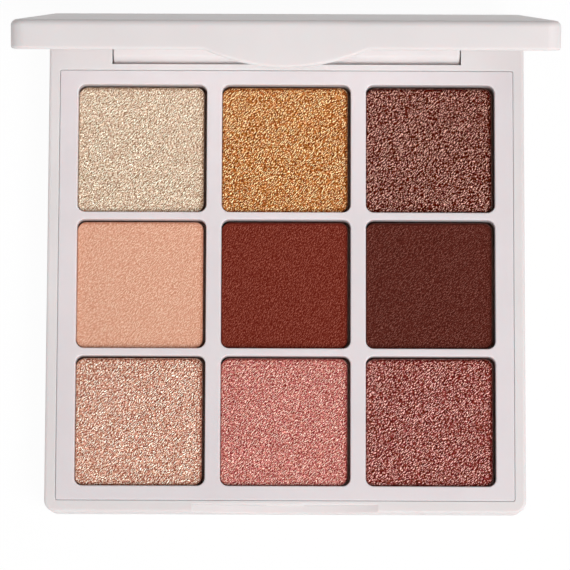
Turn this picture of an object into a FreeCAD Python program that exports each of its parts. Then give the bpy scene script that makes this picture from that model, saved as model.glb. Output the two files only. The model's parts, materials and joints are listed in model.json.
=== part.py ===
"""Nine-pan eyeshadow palette with its lid standing open.

Millimetres, +Z up, +X to the right, +Y towards the hinge. The origin is the centre of the base's
underside. The lid's pieces are drawn closed over the base and then swung open about the hinge axis.
"""
import FreeCAD, Part
import math
import os

from FreeCAD import Vector

# Grid of wells, named from the front left
ROWS = ("front", "middle", "back")
COLUMNS = ("left", "centre", "right")
well_size = 26.0
well_corner_radius = 1.6
well_mouth_round = 0.3
column_bar = 3.05
row_bar = 1.55

# Pan tray, the insert that holds the wells
tray_side_border = 3.7
tray_end_border = 2.9
tray_plate = 1.3
tray_wall = 0.8
tray_skirt = 1.2
tray_corner_radius = 0.4
tray_edge_round = 0.25
tray_gap = 0.05
well_floor = 1.1

# Metal pans, their adhesive pads and the pressed powders; the pans are glued in a little off centre
pan_side_gap = 0.4
pan_offset_x = -0.2
pan_height = 4.4
pan_metal = 0.2
pan_bottom_round = 0.6
pan_sink = 1.7
pad_inset = 3.5
pad_thickness = 0.3
powder_gap = 0.03
powder_proud = 0.3
powder_edge_round = 0.5

# Base tub
base_floor = 1.5
side_rim = 2.2
case_corner_radius = 2.5
outer_edge_round = 1.1
parting_edge_round = 0.6
pocket_edge_round = 0.15

# Thumb lip of the lid with the dish in its face, the scoop that takes it and the catch between them
lip_chord = 28.4
lip_drop = 3.1
lip_thickness = 1.1
lip_blend_radius = 2.5
lip_gap = 0.5
dish_rise = 3.4
dish_depth = 0.25
finger_room = 4.4
nail_gap = 1.1
scoop_wall = 0.8
scoop_edge_round = 0.3
catch_clearance = 0.06
catch_length = 8.0
catch_bead_depth = 2.4
catch_ridge_depth = 1.5

# Hinge
hinge_wall = 1.2
hinge_radius = 2.7
hinge_gap = 0.2
notch_width = 70.6
heel_edge_round = 0.4
knuckle_end_round = 0.3
pin_radius = 0.8
pin_engagement = 7.0
pin_inset = 0.4
pin_tip_chamfer = 0.15
pin_running_clearance = 0.05
pin_end_clearance = 0.5
lid_open_angle = 77.4
lid_stop_angle = 110.0

# Lid, mirror frame and mirror
parting_gap = 0.2
lid_skin = 1.4
frame_gap = 0.15
frame_web = 0.9
frame_core = 0.8
frame_skirt = 1.6
frame_edge_round = 0.3
mirror_border = 3.2
mirror_gap = 0.2
mirror_set_back = 0.4
mirror_thickness = 1.5
mirror_corner_radius = 0.8
mirror_bevel = 0.3
tape_thickness = 0.2
tape_inset = 2.0

# Reach of a cutting tool past the face it opens, and the limits for picking edges
OVERCUT = 1.0
EDGE_TOLERANCE = 0.001
ANYWHERE = (-math.inf, math.inf)

# Sizes that follow from the ones above
well_pitch_x = well_size + column_bar
well_pitch_y = well_size + row_bar
wells_width = len(COLUMNS) * well_size + (len(COLUMNS) - 1) * column_bar
wells_depth = len(ROWS) * well_size + (len(ROWS) - 1) * row_bar
tray_width = wells_width + 2 * tray_side_border
tray_depth = wells_depth + 2 * tray_end_border
pocket_width = tray_width + 2 * tray_gap
pocket_depth = tray_depth + 2 * tray_gap

scoop_depth = lip_thickness + lip_gap
scoop_chord = lip_chord + 2 * finger_room
scoop_drop = lip_drop + nail_gap
front_rim = scoop_depth + scoop_wall

case_width = pocket_width + 2 * side_rim
case_depth = front_rim + pocket_depth + hinge_wall + 2 * hinge_radius
front_y = -case_depth / 2
back_y = case_depth / 2
pocket_y = front_y + front_rim + pocket_depth / 2

well_floor_top = base_floor + well_floor
pan_bottom = well_floor_top + pad_thickness
pan_top = pan_bottom + pan_height
base_height = pan_top + pan_sink
pan_size = well_size - 2 * pan_side_gap
pan_corner_radius = well_corner_radius

hinge_y = back_y - hinge_radius
hinge_z = base_height - hinge_radius
knuckle_radius = hinge_radius - hinge_gap
knuckle_length = notch_width - 2 * hinge_gap

lid_bottom = base_height + parting_gap
mirror_recess = mirror_set_back + mirror_thickness + tape_thickness
frame_height = mirror_recess + frame_web + frame_core
lid_height = frame_height + lid_skin
lid_top = lid_bottom + lid_height
frame_width = pocket_width - 2 * frame_gap
frame_depth = pocket_depth - 2 * frame_gap
recess_width = frame_width - 2 * mirror_border
recess_depth = frame_depth - 2 * mirror_border
mirror_width = recess_width - 2 * mirror_gap
mirror_depth = recess_depth - 2 * mirror_gap


def rounded_slab(width, depth, radius, bottom, top, centre=(0.0, 0.0)):
    """Upright slab with a rounded rectangular plan."""
    corner = Vector(centre[0] - width / 2, centre[1] - depth / 2, bottom)
    slab = Part.makeBox(width, depth, top - bottom, corner)
    upright = [edge for edge in slab.Edges if edge.BoundBox.ZLength > EDGE_TOLERANCE]
    return slab.makeFillet(radius, upright)


def edges_within(shape, x=ANYWHERE, y=ANYWHERE, z=ANYWHERE):
    """Edges that lie wholly between a low and a high limit along each axis."""
    def inside(edge):
        box = edge.BoundBox
        spans = ((box.XMin, box.XMax, x), (box.YMin, box.YMax, y), (box.ZMin, box.ZMax, z))
        return all(
            low > limits[0] - EDGE_TOLERANCE and high < limits[1] + EDGE_TOLERANCE
            for low, high, limits in spans
        )
    return [edge for edge in shape.Edges if inside(edge)]


def around(centre, width):
    """Low and high limit of a span about its centre."""
    return centre - width / 2, centre + width / 2


def level(value):
    """Limits of a single plane."""
    return value, value


def profile_along_x(edges, length):
    """Prism of an outline in the YZ plane, centred on the YZ plane."""
    face = Part.Face(Part.Wire(edges))
    face.translate(Vector(-length / 2, 0, 0))
    return face.extrude(Vector(length, 0, 0))


def capsule_along_x(length, radius, y, z):
    """Rod with domed ends, used for the catch's bead and ridge."""
    half = length / 2 - radius
    rod = Part.makeCylinder(radius, 2 * half, Vector(-half, y, z), Vector(1, 0, 0))
    ends = [Part.makeSphere(radius, Vector(x, y, z)) for x in (-half, half)]
    return rod.multiFuse(ends)


def segment_radius(chord, drop):
    """Radius of the circle whose segment has this chord and drop."""
    return (chord ** 2 / 4 + drop ** 2) / (2 * drop)


def column_centres():
    """Middle of each column of wells, from the left."""
    return [(index - (len(COLUMNS) - 1) / 2) * well_pitch_x for index in range(len(COLUMNS))]


def row_centres():
    """Middle of each row of wells, from the front."""
    return [pocket_y + (index - (len(ROWS) - 1) / 2) * well_pitch_y for index in range(len(ROWS))]


def well_places():
    """Plan centre of each well under its row and column name."""
    return {
        f"{row}_{column}": (x, y)
        for row, y in zip(ROWS, row_centres())
        for column, x in zip(COLUMNS, column_centres())
    }


def pan_places():
    """Plan centre of each pan, which lies a little to one side of its well."""
    return {name: (x + pan_offset_x, y) for name, (x, y) in well_places().items()}


def scoop_tool():
    """Segment-shaped cut in the front of the base, where a thumb reaches the lid's lip."""
    radius = segment_radius(scoop_chord, scoop_drop)
    centre = Vector(0, front_y - OVERCUT, base_height - scoop_drop + radius)
    return Part.makeCylinder(radius, scoop_depth + OVERCUT, centre, Vector(0, 1, 0))


def notch_tool():
    """Space for the knuckle: upright front wall, round bottom and the ramp that stops the lid."""
    stop = math.radians(lid_stop_angle)
    ramp_normal = Vector(0, math.cos(stop), -math.sin(stop))
    ramp_direction = Vector(0, math.sin(stop), math.cos(stop))
    axis = Vector(0, hinge_y, hinge_z)
    wall_foot = axis + Vector(0, -hinge_radius, 0)
    ramp_top = axis + ramp_normal * hinge_radius
    ramp_end = ramp_top + ramp_direction * ((back_y + OVERCUT - ramp_top.y) / ramp_direction.y)
    half_way = math.radians((180.0 + lid_stop_angle) / 2)
    arc_middle = axis + Vector(0, math.cos(half_way), -math.sin(half_way)) * hinge_radius
    wall_head = Vector(0, wall_foot.y, base_height + OVERCUT)
    back_head = Vector(0, ramp_end.y, base_height + OVERCUT)
    outline = [
        Part.LineSegment(wall_head, wall_foot).toShape(),
        Part.Arc(wall_foot, arc_middle, ramp_top).toShape(),
        Part.LineSegment(ramp_top, ramp_end).toShape(),
        Part.LineSegment(ramp_end, back_head).toShape(),
        Part.LineSegment(back_head, wall_head).toShape(),
    ]
    return profile_along_x(outline, notch_width)


def ear_round_tool():
    """Waste above the ears: it rounds their back edge about the hinge axis, so the lid swings clear."""
    reach = hinge_radius + OVERCUT
    length = case_width + 2 * OVERCUT
    start = Vector(-length / 2, hinge_y, hinge_z)
    block = Part.makeBox(length, reach, reach, start)
    return block.cut(Part.makeCylinder(hinge_radius, length, start, Vector(1, 0, 0)))


def pin_span():
    """Inner and outer end of a hinge pin, measured from the middle of the case."""
    return knuckle_length / 2 - pin_engagement, case_width / 2 - pin_inset


def pin_rod(side, radius, inner, outer):
    """Rod on the hinge axis, on the left (side -1) or right (side 1)."""
    start = Vector(side * inner, hinge_y, hinge_z)
    return Part.makeCylinder(radius, outer - inner, start, Vector(side, 0, 0))


def pin_bores(radius):
    """Tools for the pins' bores, open at the case's sides and a little longer than the pins inside."""
    inner, outer = pin_span()
    return [
        pin_rod(side, radius, inner - pin_end_clearance, outer + pin_inset + OVERCUT) for side in (-1, 1)
    ]


def base_shell():
    """Tub with a rim, thumb scoop, hinge ears and the bores for the pins."""
    tub = rounded_slab(case_width, case_depth, case_corner_radius, 0.0, base_height)
    tub = tub.makeFillet(outer_edge_round, edges_within(tub, z=level(0.0)))
    tub = tub.makeFillet(parting_edge_round, edges_within(tub, z=level(base_height)))
    pocket = rounded_slab(pocket_width, pocket_depth, tray_corner_radius + tray_gap,
                          base_floor, base_height + OVERCUT, (0.0, pocket_y))
    tub = tub.cut(pocket)
    mouth = edges_within(tub, around(0.0, pocket_width), around(pocket_y, pocket_depth), level(base_height))
    tub = tub.makeFillet(pocket_edge_round, mouth)
    tub = tub.cut([ear_round_tool(), notch_tool(), scoop_tool()] + pin_bores(pin_radius))
    brow = edges_within(tub, around(0.0, scoop_chord), level(front_y + scoop_depth), level(base_height))
    chin = edges_within(tub, around(0.0, scoop_chord), level(front_y),
                        (base_height - scoop_drop, base_height - parting_edge_round))
    tub = tub.makeFillet(scoop_edge_round, brow + chin)
    ridge = capsule_along_x(catch_length, catch_radius(), front_y + scoop_depth,
                            base_height - catch_ridge_depth)
    return tub.fuse(ridge).removeSplitter()


def catch_radius():
    """Bead and ridge share the gap behind the lip and pass each other with the catch clearance."""
    return (lip_gap - catch_clearance) / 2


def pan_tray():
    """Insert with nine wells: a top plate, a skirt down to the base's floor and columns of wells."""
    tray = rounded_slab(tray_width, tray_depth, tray_corner_radius, base_floor, base_height, (0.0, pocket_y))
    tray = tray.makeFillet(tray_edge_round, edges_within(tray, z=level(base_height)))
    hollow_width = tray_width - 2 * tray_skirt
    hollow_depth = tray_depth - 2 * tray_skirt
    hollow = Part.makeBox(hollow_width, hollow_depth, base_height - tray_plate - base_floor,
                          Vector(-hollow_width / 2, pocket_y - hollow_depth / 2, base_floor))
    column_width = well_size + 2 * tray_wall
    column_depth = wells_depth + 2 * tray_wall
    columns = [
        Part.makeBox(column_width, column_depth, base_height - base_floor,
                     Vector(x - column_width / 2, pocket_y - column_depth / 2, base_floor))
        for x in column_centres()
    ]
    wells = [
        rounded_slab(well_size, well_size, well_corner_radius, well_floor_top, base_height + OVERCUT, place)
        for place in well_places().values()
    ]
    tray = tray.cut(hollow.cut(columns)).cut(wells)
    mouths = edges_within(tray, around(0.0, wells_width), around(pocket_y, wells_depth), level(base_height))
    return tray.makeFillet(well_mouth_round, mouths)


def pan(place):
    """Pressed metal pan: thin walls, round corners and a round lower edge."""
    outside = rounded_slab(pan_size, pan_size, pan_corner_radius, pan_bottom, pan_top, place)
    outside = outside.makeFillet(pan_bottom_round, edges_within(outside, z=level(pan_bottom)))
    floor = pan_bottom + pan_metal
    inner_size = pan_size - 2 * pan_metal
    inside = rounded_slab(inner_size, inner_size, pan_corner_radius - pan_metal, floor,
                          pan_top + OVERCUT, place)
    inside = inside.makeFillet(pan_bottom_round - pan_metal, edges_within(inside, z=level(floor)))
    return outside.cut(inside)


def powder(place):
    """Pressed cake that fills a pan and stands a little above its rim."""
    inset = pan_metal + powder_gap
    size = pan_size - 2 * inset
    bottom = pan_bottom + pan_metal
    top = pan_top + powder_proud
    cake = rounded_slab(size, size, pan_corner_radius - inset, bottom, top, place)
    cake = cake.makeFillet(pan_bottom_round - pan_metal, edges_within(cake, z=level(bottom)))
    return cake.makeFillet(powder_edge_round, edges_within(cake, z=level(top)))


def pan_adhesive():
    """One square adhesive pad under each pan."""
    size = pan_size - 2 * pad_inset
    return Part.makeCompound([
        rounded_slab(size, size, pan_corner_radius, well_floor_top, pan_bottom, place)
        for place in pan_places().values()
    ])


def thumb_lip():
    """Segment-shaped tongue under the lid's front edge, blended into that edge at both ends."""
    radius = segment_radius(lip_chord, lip_drop)
    circle_z = lid_bottom - lip_drop + radius
    span = radius + lip_blend_radius
    blend_x = math.sqrt(span ** 2 - (span - lip_drop) ** 2)
    share = radius / span
    touch_x = blend_x * share
    touch_z = circle_z + (lid_bottom - lip_blend_radius - circle_z) * share
    half_turn = math.atan2(blend_x, circle_z - lid_bottom + lip_blend_radius) / 2
    blend_middle_x = blend_x - lip_blend_radius * math.sin(half_turn)
    blend_middle_z = lid_bottom - lip_blend_radius + lip_blend_radius * math.cos(half_turn)

    def point(x, z):
        return Vector(x, front_y, z)

    root_z = lid_bottom + lid_skin
    low = point(0, lid_bottom - lip_drop)
    outline = [
        Part.Arc(point(-touch_x, touch_z), low, point(touch_x, touch_z)).toShape(),
        Part.Arc(point(touch_x, touch_z), point(blend_middle_x, blend_middle_z),
                 point(blend_x, lid_bottom)).toShape(),
        Part.LineSegment(point(blend_x, lid_bottom), point(blend_x, root_z)).toShape(),
        Part.LineSegment(point(blend_x, root_z), point(-blend_x, root_z)).toShape(),
        Part.LineSegment(point(-blend_x, root_z), point(-blend_x, lid_bottom)).toShape(),
        Part.Arc(point(-blend_x, lid_bottom), point(-blend_middle_x, blend_middle_z),
                 point(-touch_x, touch_z)).toShape(),
    ]
    return Part.Face(Part.Wire(outline)).extrude(Vector(0, lip_thickness, 0))


def dish_tool():
    """Barrel whose side leaves a shallow lens-shaped dish, where the thumb presses the lid's front edge."""
    half_height = (dish_rise + lip_drop) / 2
    radius = segment_radius(2 * half_height, dish_depth)
    middle_z = lid_bottom + dish_rise - half_height
    axis = Vector(0, front_y + dish_depth - radius, middle_z)
    half = Vector(lip_chord / 2, 0, 0)
    waist = axis + Vector(0, radius, 0)
    end = Vector(0, radius - dish_depth, 0)
    outline = [
        Part.Arc(axis - half + end, waist, axis + half + end).toShape(),
        Part.LineSegment(axis + half + end, axis + half).toShape(),
        Part.LineSegment(axis + half, axis - half).toShape(),
        Part.LineSegment(axis - half, axis - half + end).toShape(),
    ]
    return Part.Face(Part.Wire(outline)).revolve(axis, Vector(1, 0, 0), 360)


def knuckle():
    """Barrel on the hinge axis with the neck that carries it under the lid's back wall."""
    start = Vector(-knuckle_length / 2, hinge_y, hinge_z)
    barrel = Part.makeCylinder(knuckle_radius, knuckle_length, start, Vector(1, 0, 0))
    neck_top = lid_bottom + lid_skin
    neck = Part.makeBox(knuckle_length, 2 * knuckle_radius, neck_top - hinge_z,
                        start + Vector(0, -knuckle_radius, 0))
    block = barrel.fuse(neck).removeSplitter()
    ends = [
        edge for side in (-1, 1)
        for edge in edges_within(block, x=level(side * knuckle_length / 2))
        if edge.BoundBox.ZMin < neck_top - EDGE_TOLERANCE
    ]
    return block.makeFillet(knuckle_end_round, ends)


def heel_height(y):
    """Height above the hinge axis of the lid's relieved back edge, at a distance behind that axis."""
    slope = math.radians(lid_stop_angle - 90.0)
    return (hinge_radius + parting_gap) / math.cos(slope) + y * math.tan(slope)


def heel_tool():
    """Wedge cut under the lid's back edge, which lies along the base's back when the lid is at its stop."""
    drop = hinge_radius + parting_gap
    reach = hinge_radius + OVERCUT
    start_y = -drop * math.tan(math.radians(lid_stop_angle - 90.0) / 2)
    below = drop - OVERCUT
    corners = [(start_y, drop), (reach, heel_height(reach)), (reach, below), (start_y, below)]
    points = [Vector(0, hinge_y + y, hinge_z + z) for y, z in corners]
    outline = [
        Part.LineSegment(start, end).toShape()
        for start, end in zip(points, points[1:] + points[:1])
    ]
    return profile_along_x(outline, case_width + 2 * OVERCUT)


def lid_cover():
    """Lid with the thumb lip in front, the knuckle behind and the hollow for the mirror frame."""
    cover = rounded_slab(case_width, case_depth, case_corner_radius, lid_bottom, lid_top)
    cover = cover.makeFillet(outer_edge_round, edges_within(cover, z=level(lid_top)))
    cover = cover.fuse(thumb_lip()).removeSplitter()
    lower_front = edges_within(cover, y=level(front_y), z=(lid_bottom - lip_drop, lid_bottom))
    cover = cover.makeFillet(parting_edge_round, lower_front)
    hollow = rounded_slab(pocket_width, pocket_depth, tray_corner_radius + frame_gap,
                          lid_bottom - OVERCUT, lid_bottom + frame_height, (0.0, pocket_y))
    cover = cover.cut([hollow, heel_tool(), dish_tool()])
    heel_z = hinge_z + heel_height(hinge_radius)
    cover = cover.makeFillet(heel_edge_round, edges_within(cover, y=level(back_y), z=level(heel_z)))
    bead = capsule_along_x(catch_length, catch_radius(), front_y + lip_thickness,
                           base_height - catch_bead_depth)
    cover = cover.fuse([bead, knuckle()]).removeSplitter()
    return cover.cut(pin_bores(pin_radius + pin_running_clearance))


def mirror_frame():
    """Inner lid: a recess for the mirror on its face and a cored back with a cross rib."""
    centre = (0.0, pocket_y)
    top = lid_bottom + frame_height
    frame = rounded_slab(frame_width, frame_depth, tray_corner_radius, lid_bottom, top, centre)
    frame = frame.makeFillet(frame_edge_round, edges_within(frame, z=level(lid_bottom)))
    recess = rounded_slab(recess_width, recess_depth, mirror_corner_radius + mirror_gap,
                          lid_bottom - OVERCUT, lid_bottom + mirror_recess, centre)
    core_width = (frame_width - 3 * frame_skirt) / 2
    core_depth = (frame_depth - 3 * frame_skirt) / 2
    cores = [
        Part.makeBox(core_width, core_depth, frame_core + OVERCUT,
                     Vector(x, pocket_y + y, top - frame_core))
        for x in (-core_width - frame_skirt / 2, frame_skirt / 2)
        for y in (-core_depth - frame_skirt / 2, frame_skirt / 2)
    ]
    return frame.cut([recess] + cores)


def mirror():
    """Glass plate with a bevel round its face."""
    face = lid_bottom + mirror_set_back
    plate = rounded_slab(mirror_width, mirror_depth, mirror_corner_radius, face,
                         face + mirror_thickness, (0.0, pocket_y))
    return plate.makeChamfer(mirror_bevel, edges_within(plate, z=level(face)))


def mirror_tape():
    """Adhesive sheet between the mirror and its frame."""
    bottom = lid_bottom + mirror_set_back + mirror_thickness
    return rounded_slab(mirror_width - 2 * tape_inset, mirror_depth - 2 * tape_inset,
                        mirror_corner_radius, bottom, bottom + tape_thickness, (0.0, pocket_y))


def hinge_pin(side):
    """Steel pin pressed into an ear of the base; the knuckle turns on its inner end."""
    inner, outer = pin_span()
    rod = pin_rod(side, pin_radius, inner, outer)
    rims = edges_within(rod, x=level(side * inner)) + edges_within(rod, x=level(side * outer))
    return rod.makeChamfer(pin_tip_chamfer, rims)


def swung_open(shape):
    """The closed lid's shape turned back about the hinge axis."""
    opened = shape.copy()
    opened.rotate(Vector(0, hinge_y, hinge_z), Vector(1, 0, 0), -lid_open_angle)
    return opened


def all_parts():
    """Every node's name and shape."""
    parts = {
        "base_shell": base_shell(),
        "pan_tray": pan_tray(),
        "pan_adhesive": pan_adhesive(),
        "hinge_pin_left": hinge_pin(-1),
        "hinge_pin_right": hinge_pin(1),
        "lid_cover": swung_open(lid_cover()),
        "mirror_frame": swung_open(mirror_frame()),
        "mirror": swung_open(mirror()),
        "mirror_tape": swung_open(mirror_tape()),
    }
    for name, place in pan_places().items():
        parts[f"pan_{name}"] = pan(place)
        parts[f"shadow_{name}"] = powder(place)
    return parts


os.makedirs("parts", exist_ok=True)
for node, shape in all_parts().items():
    shape.exportStep(f"parts/{node}.step")
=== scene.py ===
"""Looks of an open nine-pan eyeshadow palette: pressed powders, satin plastic, mirror and studio."""

import json
import math
from collections import namedtuple

import bpy
import numpy as np
from mathutils import Color, Matrix, Vector


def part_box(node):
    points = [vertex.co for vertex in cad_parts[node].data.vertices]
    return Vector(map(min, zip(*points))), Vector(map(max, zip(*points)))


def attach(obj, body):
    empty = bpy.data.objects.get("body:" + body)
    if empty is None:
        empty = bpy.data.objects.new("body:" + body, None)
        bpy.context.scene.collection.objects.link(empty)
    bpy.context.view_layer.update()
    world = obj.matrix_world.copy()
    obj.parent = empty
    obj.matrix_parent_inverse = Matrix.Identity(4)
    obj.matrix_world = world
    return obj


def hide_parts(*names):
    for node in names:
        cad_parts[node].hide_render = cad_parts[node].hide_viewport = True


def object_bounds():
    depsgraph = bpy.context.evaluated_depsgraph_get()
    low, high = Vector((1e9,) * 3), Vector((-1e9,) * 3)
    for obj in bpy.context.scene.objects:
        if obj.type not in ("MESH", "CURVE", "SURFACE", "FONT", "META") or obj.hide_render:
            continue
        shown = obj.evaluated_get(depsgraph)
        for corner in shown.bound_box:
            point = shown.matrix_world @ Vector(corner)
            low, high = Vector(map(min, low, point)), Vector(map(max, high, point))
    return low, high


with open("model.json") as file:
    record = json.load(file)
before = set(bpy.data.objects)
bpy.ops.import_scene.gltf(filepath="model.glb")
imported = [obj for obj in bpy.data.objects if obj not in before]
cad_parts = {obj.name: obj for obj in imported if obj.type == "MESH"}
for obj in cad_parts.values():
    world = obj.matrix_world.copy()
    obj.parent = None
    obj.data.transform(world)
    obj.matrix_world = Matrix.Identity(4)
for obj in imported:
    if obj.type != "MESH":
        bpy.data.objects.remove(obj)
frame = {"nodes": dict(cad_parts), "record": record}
cad_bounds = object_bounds()

MM = 0.001
WHITE = (1, 1, 1, 1)

# Camera: nearly straight above, a little in front of the palette
IMAGE_WIDTH_PX = 570
FOCAL_LENGTH_PX = 3145
SENSOR_WIDTH_MM = 36
CAMERA_DISTANCE = 631 * MM
CAMERA_TILT = math.radians(7.05)
CAMERA_TURN = math.radians(0.9)
CAMERA_ROLL = math.radians(0.21)
CAMERA_AIM_OFFSET = Vector((-0.17 * MM, -0.25 * MM, 0))

# Studio: floor and surroundings that look white, and soft lamps, in metres and watts
FLOOR_HALF_WIDTH = 20.0
FLOOR_COLOUR = (0.95, 0.95, 0.95, 1)
FLOOR_GLOW_SHARE = 0.95
SKY_FILL = 0.42
Softbox = namedtuple("Softbox", "name place size power")
SOFTBOXES = [
    Softbox("key_softbox", (0.37, -0.37, 0.70), 0.40, 4.9),
    Softbox("front_softbox", (-0.10, -0.46, 0.70), 0.40, 0.5),
    Softbox("left_softbox", (-0.75, -0.15, 0.14), 0.20, 0.6),
]

# Powder cakes: a top with a rounded edge, whose brim lies over the pan's rim
CAKE_STEP = 0.16 * MM
CAKE_CORNER_RADIUS = 1.37 * MM
CAKE_BRIM = 0.3 * MM
CAKE_BRIM_GAP = 0.02 * MM
CAKE_LEAN = Vector((-0.1 * MM, -0.18 * MM, 0))
CAKE_EDGE_ROUND = 0.2 * MM

# Grain of the cakes: patches and slanting streaks in the tone and, up to a limit, in the relief
GRAIN_WEAR_AND_SHADE_ATTRIBUTE = "grain"
GRAIN_PATCH = 2.5 * MM
GRAIN_STREAK = 0.08 * MM
GRAIN_RELIEF = 0.012 * MM
GRAIN_RELIEF_LIMIT = 2
GRAIN_TONE = 0.5
GRAIN_TONE_SPREAD = 0.5

# Wear of the cakes, with painted shade: the tone is darker near the rubbed edge all round, and darker
# still at the right and the back, which is painted shade of the rounded edge
EDGE_WEAR_AND_SHADE_WIDTH = 0.4 * MM
EDGE_SHADE_SHIFT = Vector((-0.3 * MM, -0.2 * MM, 0))
EDGE_WEAR_AND_SHADE_TONE = 0.5

# Flakes of pigment, which give a share of the tone
FLAKE_WIDTH = 0.14 * MM
FLAKE_STRETCH = 1.3
FLAKE_TONE_SHARE = 0.5
FLAKE_TILT = 0.7

# Powders: display colours of the dark, body and bright tones, slant of the streaks in degrees, and seed
BODY_TONE = 0.7
SHIMMER_HUE = (0.485, 0.515)
SHIMMER_METAL = (0, 0.45)
SHIMMER_ROUGHNESS = (0.4, 0.65)
MATTE_ROUGHNESS = (0.75, 0.95)
MATTE_SPECULAR = 0.1
MATTE_DOME = 0.02 * MM
MATTE_DOME_STRENGTH = 0.35
Powder = namedtuple("Powder", "place name shimmers dark body bright slant seed")
POWDERS = [
    Powder("back_left", "champagne", True, (130, 95, 65), (225, 195, 170), (230, 230, 210), 52, 11),
    Powder("back_centre", "gold", True, (65, 0, 0), (195, 115, 50), (245, 225, 175), 48, 12),
    Powder("back_right", "bronze_plum", True, (25, 0, 0), (95, 25, 5), (230, 180, 165), 45, 13),
    Powder("middle_left", "peach", False, (195, 130, 100), (225, 170, 145), (235, 200, 175), 50, 14),
    Powder("middle_centre", "brick", False, (90, 15, 5), (115, 45, 30), (150, 80, 65), 62, 15),
    Powder("middle_right", "espresso", False, (60, 15, 5), (90, 35, 25), (125, 75, 65), 44, 16),
    Powder("front_left", "rose_champagne", True, (105, 35, 5), (220, 160, 135), (230, 230, 215), 53, 17),
    Powder("front_centre", "coral_pink", True, (110, 0, 0), (205, 125, 115), (220, 190, 175), 46, 18),
    Powder("front_right", "burgundy_rose", True, (45, 0, 0), (135, 50, 40), (235, 185, 175), 46, 19),
]

# Pans: tinplate with powder rubbed over it
TINPLATE_ROUGHNESS = (0.4, 0.8)
TINPLATE_METAL = (0, 0.5)

# Plastics: display colours, with faint clouds, uneven gloss, a fine skin and some light let through
Plastic = namedtuple("Plastic", "name colour roughness")
CASE_PLASTIC = Plastic("case_plastic", (221, 215, 215), (0.45, 0.55))
INNER_PLASTIC = Plastic("inner_plastic", (221, 213, 215), (0.27, 0.37))
TRAY_PLASTIC = INNER_PLASTIC._replace(name="tray_plastic")
CLOUD_SIZE = 18 * MM
CLOUD_STOPS = [(0.3, 0.97), (0.7, 1.02)]
GLOSS_SIZE = 4 * MM
GLOSS_DETAIL = 4
SKIN_SIZE = 0.25 * MM
SKIN_DEPTH = 0.01 * MM
SKIN_STRENGTH = 0.12
PLASTIC_CONSTANTS = {
    "Specular IOR Level": 0.4,
    "Subsurface Weight": 0.5,
    "Subsurface Scale": 1 * MM,
    "Subsurface Radius": (1.0, 0.6, 0.55),
}

# Powder dust and painted shade in the wells, browner and darker deep in the gaps round the pans: it
# starts at one depth under the pans' rims and is full at the other
DUST_AND_SHADE_COLOUR = (185, 138, 120)
DUST_AND_SHADE_TOP = 0.5 * MM
DUST_AND_SHADE_FULL = 2.0 * MM

# Mottled finishes: silvered glass with handling marks, drawn steel wire and milky adhesive film
Finish = namedtuple("Finish", "name metal mottle detail dark bright roughness")
FINISHES = [
    Finish("mirror_glass", 1, 9 * MM, 5, (0.86, 0.88, 0.88, 1), (0.93, 0.94, 0.94, 1), (0.01, 0.05)),
    Finish("steel", 1, 0.15 * MM, 3, (0.42, 0.42, 0.43, 1), (0.6, 0.6, 0.6, 1), (0.25, 0.45)),
    Finish("adhesive", 0, 1.5 * MM, 3, (0.62, 0.6, 0.55, 1), (0.72, 0.7, 0.66, 1), (0.45, 0.65)),
]


def linear(colour):
    """A display colour, 0 to 255, as the linear RGBA that shaders take."""
    shares = Color([part / 255 for part in colour])
    return tuple(shares.from_srgb_to_scene_linear()) + (1,)


def scaled(colour, share):
    """A linear colour made lighter or darker."""
    return tuple(part * share for part in colour[:3]) + (1,)


def pan_rim(powder):
    """Height of the rim of the pan that holds a powder."""
    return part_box("pan_" + powder.place)[1].z


def add_object(name, data):
    """An object in the scene that holds a mesh, a lamp or a camera."""
    holder = bpy.data.objects.new(name, data)
    bpy.context.scene.collection.objects.link(holder)
    return holder


def empty_tree(owner):
    """The node tree of a material or world, with nothing in it."""
    owner.use_nodes = True
    owner.node_tree.nodes.clear()
    return owner.node_tree


def new_material(name):
    """A material and its empty node tree."""
    material = bpy.data.materials.new(name)
    return material, empty_tree(material)


def add_node(tree, kind, inputs=None, **properties):
    """A shader node with its properties set; each of the inputs is a value or another node's output."""
    node = tree.nodes.new("ShaderNode" + kind)
    for name, value in properties.items():
        setattr(node, name, value)
    for socket, value in (inputs or {}).items():
        if isinstance(value, bpy.types.NodeSocket):
            tree.links.new(value, node.inputs[socket])
        else:
            node.inputs[socket].default_value = value
    return node


def add_surface(tree, inputs):
    """The principled surface that a material shows."""
    shader = add_node(tree, "BsdfPrincipled", inputs)
    add_node(tree, "OutputMaterial", {"Surface": shader.outputs["BSDF"]})


def place_on_piece(tree):
    """The shaded point's place in the piece's own frame."""
    return add_node(tree, "TexCoord").outputs["Object"]


def noise(tree, size, detail=2):
    """Noise whose features are about that size, fixed to the piece."""
    inputs = {"Vector": place_on_piece(tree), "Scale": 1 / size, "Detail": detail}
    return add_node(tree, "TexNoise", inputs).outputs["Fac"]


def ramp(tree, factor, *stops):
    """Colours along a factor; each stop is a place from 0 to 1 and a colour."""
    node = add_node(tree, "ValToRGB", {"Fac": factor})
    elements = node.color_ramp.elements
    while len(elements) < len(stops):
        elements.new(1)
    for element, (place, colour) in zip(elements, stops):
        element.position = place
        element.color = colour
    return node.outputs["Color"]


def spread(tree, factor, low, high):
    """A factor from 0 to 1 spread over a range of values."""
    inputs = {"Value": factor, "To Min": low, "To Max": high}
    return add_node(tree, "MapRange", inputs).outputs["Result"]


def bump(tree, height, depth, strength):
    """The surface's normal with fine unevenness of that depth."""
    inputs = {"Height": height, "Distance": depth, "Strength": strength}
    return add_node(tree, "Bump", inputs).outputs["Normal"]


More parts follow.
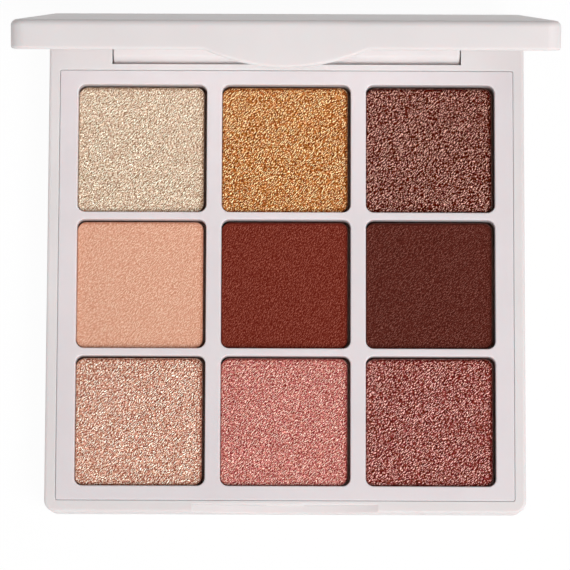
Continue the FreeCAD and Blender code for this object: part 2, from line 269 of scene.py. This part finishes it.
def dusted_and_shaded(tree, clean, rim):
    """A colour that turns to that of powder dust, with painted shade, below the pans' rims, more so the
    deeper it lies.
    """
    place = add_node(tree, "SeparateXYZ", {"Vector": place_on_piece(tree)})
    share = add_node(tree, "MapRange", {
        "Value": place.outputs["Z"],
        "From Min": rim - DUST_AND_SHADE_TOP,
        "From Max": rim - DUST_AND_SHADE_FULL,
    })
    return add_node(tree, "MixRGB", {
        "Fac": share.outputs["Result"],
        "Color1": clean,
        "Color2": linear(DUST_AND_SHADE_COLOUR),
    }).outputs["Color"]


def plastic_material(plastic, dust_and_shade_rim=None):
    """Satin moulded plastic, a little translucent, with powder dust and painted shade below a rim height,
    where one is given.
    """
    material, tree = new_material(plastic.name)
    colour = linear(plastic.colour)
    stops = [(place, scaled(colour, share)) for place, share in CLOUD_STOPS]
    tone = ramp(tree, noise(tree, CLOUD_SIZE), *stops)
    if dust_and_shade_rim is not None:
        # Painted shade: the plastic turns browner and darker deep under the pans' rims, along with its
        # dust.
        tone = dusted_and_shaded(tree, tone, dust_and_shade_rim)
    add_surface(tree, {
        "Base Color": tone,
        "Roughness": spread(tree, noise(tree, GLOSS_SIZE, GLOSS_DETAIL), *plastic.roughness),
        "Normal": bump(tree, noise(tree, SKIN_SIZE), SKIN_DEPTH, SKIN_STRENGTH),
        **PLASTIC_CONSTANTS,
    })
    return material


def mottled_material(finish):
    """A finish whose tone and roughness vary together."""
    material, tree = new_material(finish.name)
    mottle = noise(tree, finish.mottle, finish.detail)
    add_surface(tree, {
        "Base Color": ramp(tree, mottle, (0, finish.dark), (1, finish.bright)),
        "Roughness": spread(tree, mottle, *finish.roughness),
        "Metallic": finish.metal,
    })
    return material


def flakes(tree, slant):
    """Flakes of pigment lying at a slant: three random numbers for each, as a colour, and its dome."""
    turned = add_node(tree, "Mapping", vector_type="TEXTURE", inputs={
        "Vector": place_on_piece(tree),
        "Rotation": (0, 0, math.radians(slant)),
        "Scale": (FLAKE_STRETCH, 1, 1),
    })
    cells = add_node(tree, "TexVoronoi", {"Vector": turned.outputs["Vector"], "Scale": 1 / FLAKE_WIDTH})
    return cells.outputs["Color"], cells.outputs["Distance"]


def separate(tree, numbers):
    """The three numbers of a colour, as Red, Green and Blue."""
    return add_node(tree, "SeparateColor", {"Color": numbers}).outputs


def tilted_normal(tree, numbers):
    """The surface's normal, tilted a different way on each flake."""
    tilt = add_node(tree, "VectorMath", operation="MULTIPLY_ADD", inputs={
        0: numbers,
        1: (FLAKE_TILT, FLAKE_TILT, 0),
        2: (-FLAKE_TILT / 2, -FLAKE_TILT / 2, 0),
    })
    upright = add_node(tree, "NewGeometry").outputs["Normal"]
    leaning = add_node(tree, "VectorMath", {0: upright, 1: tilt.outputs["Vector"]}, operation="ADD")
    unit = add_node(tree, "VectorMath", {0: leaning.outputs["Vector"]}, operation="NORMALIZE")
    return unit.outputs["Vector"]


def pigment(tree, tone, powder):
    """The powder's colour for a tone from 0 to 1."""
    stops = (0, linear(powder.dark)), (BODY_TONE, linear(powder.body)), (1, linear(powder.bright))
    return ramp(tree, tone, *stops)


def tinplate_material(powder):
    """Drawn tinplate with powder rubbed all over it."""
    material, tree = new_material("tinplate_" + powder.place)
    flake = separate(tree, flakes(tree, powder.slant)[0])
    add_surface(tree, {
        "Base Color": pigment(tree, flake["Red"], powder),
        "Roughness": spread(tree, flake["Green"], *TINPLATE_ROUGHNESS),
        "Metallic": spread(tree, flake["Blue"], *TINPLATE_METAL),
    })
    return material


def powder_material(powder):
    """Pressed powder: flakes and grain, which also carries the rubbed edges and their painted shade,
    together pick a tone between the pigment's dark and bright.
    """
    material, tree = new_material("powder_" + powder.name)
    numbers, dome = flakes(tree, powder.slant)
    flake = separate(tree, numbers)
    # This attribute carries the grain, the rubbed edges and their painted shade.
    grain = add_node(tree, "Attribute", attribute_name=GRAIN_WEAR_AND_SHADE_ATTRIBUTE).outputs["Fac"]
    parts = {0: flake["Red"], 1: FLAKE_TONE_SHARE, 2: grain}
    tone = add_node(tree, "Math", parts, operation="MULTIPLY_ADD", use_clamp=True).outputs["Value"]
    colour = pigment(tree, tone, powder)
    if powder.shimmers:
        hue = spread(tree, flake["Blue"], *SHIMMER_HUE)
        add_surface(tree, {
            "Base Color": add_node(tree, "HueSaturation", {"Hue": hue, "Color": colour}).outputs["Color"],
            "Metallic": spread(tree, tone, *SHIMMER_METAL),
            "Roughness": spread(tree, flake["Green"], *SHIMMER_ROUGHNESS),
            "Specular IOR Level": 0,
            "Normal": tilted_normal(tree, numbers),
        })
    else:
        add_surface(tree, {
            "Base Color": colour,
            "Roughness": spread(tree, flake["Green"], *MATTE_ROUGHNESS),
            "Specular IOR Level": MATTE_SPECULAR,
            "Normal": bump(tree, dome, MATTE_DOME, MATTE_DOME_STRENGTH),
        })
    return material


def grain_field(count, slant, seed):
    """Fine grain with faint patches, drawn out into streaks at a slant: mean 0 and spread 1."""
    random = np.random.default_rng(seed).standard_normal((count, count))
    across = np.fft.fftfreq(count, CAKE_STEP)[None, :]
    up = np.fft.fftfreq(count, CAKE_STEP)[:, None]
    turn = math.radians(slant)
    along = across * math.cos(turn) + up * math.sin(turn)
    streaks = np.exp(-2 * (math.pi * GRAIN_STREAK * along) ** 2)
    kept = (1 / GRAIN_PATCH + np.hypot(across, up)) * streaks
    field = np.fft.ifft2(np.fft.fft2(random) * kept).real
    return field / field.std()


def rounded_grid(half, radius, count):
    """Points of a square grid about its middle, with the corners drawn in to quarter circles."""
    line = np.linspace(-half, half, count)
    x, y = np.meshgrid(line, line)
    straight = half - radius
    past_x = np.maximum(np.abs(x) - straight, 0) / radius
    past_y = np.maximum(np.abs(y) - straight, 0) / radius
    new_x = np.minimum(np.abs(x), straight) + radius * past_x * np.sqrt(1 - past_y**2 / 2)
    new_y = np.minimum(np.abs(y), straight) + radius * past_y * np.sqrt(1 - past_x**2 / 2)
    return np.copysign(new_x, x), np.copysign(new_y, y)


def inset(x, y, half, radius):
    """How far each point lies inside the rounded square."""
    past_x = np.abs(x) - (half - radius)
    past_y = np.abs(y) - (half - radius)
    corner = np.hypot(np.maximum(past_x, 0), np.maximum(past_y, 0))
    return radius - corner - np.minimum(np.maximum(past_x, past_y), 0)


def ring_of(count):
    """Numbers of a square grid's border points, in order round it."""
    numbers = np.arange(count * count).reshape(count, count)
    return np.concatenate([numbers[0, :-1], numbers[:-1, -1], numbers[-1, :0:-1], numbers[:0:-1, 0]])


def level_ring(half, radius, count, middle, z):
    """Border points of a rounded square about a middle, at a height."""
    x, y = rounded_grid(half, radius, count)
    rim = ring_of(count)
    return np.column_stack([x.ravel()[rim] + middle.x, y.ravel()[rim] + middle.y, np.full(len(rim), z)])


def cake_drop(x, y, half, radius, field):
    """How far the cake's top lies under its highest level: finely uneven, and rounded off at the edge."""
    to_edge = np.clip(CAKE_EDGE_ROUND - inset(x, y, half, radius), 0, CAKE_EDGE_ROUND)
    fall = CAKE_EDGE_ROUND - np.sqrt(CAKE_EDGE_ROUND**2 - to_edge**2)
    relief = np.clip(field, -GRAIN_RELIEF_LIMIT, GRAIN_RELIEF_LIMIT)
    return fall + GRAIN_RELIEF * (GRAIN_RELIEF_LIMIT - relief)


def cake_tone(x, y, half, radius, field):
    """What the grain gives to the tone, which is darker near the rubbed edge, and darker still at the
    right and the back as painted shade.
    """
    # Painted shade: the outline is shifted so that the right and back edges come out darker.
    depth = inset(x - EDGE_SHADE_SHIFT.x, y - EDGE_SHADE_SHIFT.y, half, radius)
    rubbed_and_shaded = 1 - np.clip(depth / EDGE_WEAR_AND_SHADE_WIDTH, 0, 1)
    return (1 - FLAKE_TONE_SHARE) * (GRAIN_TONE - EDGE_WEAR_AND_SHADE_TONE * rubbed_and_shaded) + GRAIN_TONE_SPREAD * field


def cake_faces(count, ring_count):
    """Quads of the top, quads between the rings below it and triangles of the underside."""
    numbers = np.arange(count * count).reshape(count, count)
    corners = (numbers[:-1, :-1], numbers[:-1, 1:], numbers[1:, 1:], numbers[1:, :-1])
    faces = np.stack([corner.ravel() for corner in corners], axis=1).tolist()
    upper = ring_of(count)
    for index in range(ring_count):
        lower = count * count + index * len(upper) + np.arange(len(upper))
        faces += np.stack([upper, lower, np.roll(lower, -1), np.roll(upper, -1)], axis=1).tolist()
        upper = lower
    centre = np.full(len(upper), upper[-1] + 1)
    return faces + np.stack([np.roll(upper, -1), upper, centre], axis=1).tolist()


def cake_mesh(powder, low, high):
    """The closed mesh of a cake, which fills the box of its solid and laps over the pan's rim."""
    middle = (low + high) / 2
    inner_half = (high.x - low.x) / 2
    half = inner_half + CAKE_BRIM
    radius = CAKE_CORNER_RADIUS + CAKE_BRIM
    count = round(2 * half / CAKE_STEP) + 1
    field = grain_field(count, powder.slant, powder.seed)
    x, y = rounded_grid(half, radius, count)

    brim_middle = middle + CAKE_LEAN
    brim_z = pan_rim(powder) + CAKE_BRIM_GAP
    height = high.z - cake_drop(x, y, half, radius, field)
    top = np.stack([brim_middle.x + x.ravel(), brim_middle.y + y.ravel(), height.ravel()], axis=1)
    rings = [
        level_ring(half, radius, count, brim_middle, brim_z),
        level_ring(inner_half, CAKE_CORNER_RADIUS, count, middle, brim_z),
        level_ring(inner_half, CAKE_CORNER_RADIUS, count, middle, low.z),
    ]
    points = np.concatenate([top, *rings, [(middle.x, middle.y, low.z)]])
    grain = np.zeros(len(points), np.float32)
    # The per-point tone carries the grain, the rubbed edges and their painted shade.
    grain[:len(top)] = cake_tone(x, y, half, radius, field).ravel()

    mesh = bpy.data.meshes.new("cake_" + powder.place)
    mesh.from_pydata(points.tolist(), [], cake_faces(count, len(rings)))
    mesh.attributes.new(GRAIN_WEAR_AND_SHADE_ATTRIBUTE, "FLOAT", "POINT").data.foreach_set("value", grain)
    smooth = np.zeros(len(mesh.polygons), bool)
    smooth[:(count - 1) ** 2] = True
    mesh.polygons.foreach_set("use_smooth", smooth)
    mesh.update()
    return mesh


def powder_cake(powder):
    """One pressed powder, which stands for its plain solid."""
    node = "shadow_" + powder.place
    mesh = cake_mesh(powder, *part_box(node))
    mesh.materials.append(powder_material(powder))
    cake = add_object(mesh.name, mesh)
    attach(cake, "base")
    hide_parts(node)


def dress(node, material):
    """Gives a solid its material."""
    for slot in frame["nodes"][node].material_slots:
        slot.material = material


def dress_solids():
    """Gives every solid that stays in view the finish of its slot; the tray and pans get their own."""
    materials = {plastic.name: plastic_material(plastic) for plastic in (CASE_PLASTIC, INNER_PLASTIC)}
    materials.update({finish.name: mottled_material(finish) for finish in FINISHES})
    for part in frame["record"]["subparts"]:
        if part["material_slot"] in materials:
            dress(part["node"], materials[part["material_slot"]])
    # The tray gets powder dust and painted shade in its wells below the pans' rims.
    dress("pan_tray", plastic_material(TRAY_PLASTIC, pan_rim(POWDERS[0])))
    for powder in POWDERS:
        dress("pan_" + powder.place, tinplate_material(powder))


def seen_share(tree):
    """1 for rays that show a surface to the camera, straight on, mirrored or through glass, else 0."""
    rays = add_node(tree, "LightPath").outputs
    share = rays["Is Camera Ray"]
    for kind in ("Is Glossy Ray", "Is Transmission Ray"):
        share = add_node(tree, "Math", {0: share, 1: rays[kind]}, operation="MAXIMUM").outputs["Value"]
    return share


def mixed(tree, share, first, second):
    """Two shaders mixed by the share of the second."""
    return add_node(tree, "MixShader", {"Fac": share, 1: first, 2: second}).outputs["Shader"]


def floor_material():
    """White paper that stays white to the eye and still takes a soft shadow."""
    material, tree = new_material("floor_white")
    paper = add_node(tree, "BsdfDiffuse", {"Color": FLOOR_COLOUR}).outputs["BSDF"]
    glow = add_node(tree, "Emission", {"Color": WHITE, "Strength": 1}).outputs["Emission"]
    share = spread(tree, seen_share(tree), 0, FLOOR_GLOW_SHARE)
    add_node(tree, "OutputMaterial", {"Surface": mixed(tree, share, paper, glow)})
    return material


def floor(level):
    """The pale floor under the palette."""
    mesh = bpy.data.meshes.new("floor")
    corners = [(-1, -1), (1, -1), (1, 1), (-1, 1)]
    points = [(x * FLOOR_HALF_WIDTH, y * FLOOR_HALF_WIDTH, level) for x, y in corners]
    mesh.from_pydata(points, [], [(0, 1, 2, 3)])
    mesh.materials.append(floor_material())
    ground = add_object("floor", mesh)


def sky():
    """White surroundings: full white to the eye, a softer white as light."""
    world = bpy.data.worlds.new("studio")
    tree = empty_tree(world)
    fill = add_node(tree, "Background", {"Color": WHITE, "Strength": SKY_FILL}).outputs["Background"]
    seen = add_node(tree, "Background", {"Color": WHITE, "Strength": 1}).outputs["Background"]
    add_node(tree, "OutputWorld", {"Surface": mixed(tree, seen_share(tree), fill, seen)})
    bpy.context.scene.world = world


def softbox(box, aim):
    """A square area lamp turned to the palette."""
    lamp = bpy.data.lights.new(box.name, "AREA")
    lamp.shape = "SQUARE"
    lamp.size = box.size
    lamp.energy = box.power
    holder = add_object(box.name, lamp)
    holder.location = box.place
    holder.rotation_mode = "QUATERNION"
    holder.rotation_quaternion = (aim - Vector(box.place)).to_track_quat("-Z", "Y")
    holder.visible_camera = False


def camera(aim):
    """The photograph's camera: tilted towards the front, turned and rolled a little."""
    back = Vector((
        math.sin(CAMERA_TURN) * math.sin(CAMERA_TILT),
        -math.cos(CAMERA_TURN) * math.sin(CAMERA_TILT),
        math.cos(CAMERA_TILT),
    ))
    right = (-back).cross(Vector((0, 1, 0))).normalized()
    up = right.cross(-back)
    turned = Matrix((right, up, back)).transposed() @ Matrix.Rotation(CAMERA_ROLL, 3, "Z")
    lens = bpy.data.cameras.new("camera")
    lens.sensor_width = SENSOR_WIDTH_MM
    lens.lens = FOCAL_LENGTH_PX / IMAGE_WIDTH_PX * SENSOR_WIDTH_MM
    holder = add_object("camera", lens)
    holder.matrix_world = Matrix.Translation(aim + back * CAMERA_DISTANCE) @ turned.to_4x4()
    bpy.context.scene.camera = holder


dress_solids()
for entry in POWDERS:
    powder_cake(entry)

tray_low, tray_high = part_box("pan_tray")
tray_middle = Vector(((tray_low.x + tray_high.x) / 2, (tray_low.y + tray_high.y) / 2, tray_high.z))
floor(cad_bounds[0].z)
sky()
for entry in SOFTBOXES:
    softbox(entry, tray_middle)
camera(tray_middle + CAMERA_AIM_OFFSET)
bpy.context.scene.view_settings.view_transform = "Standard"
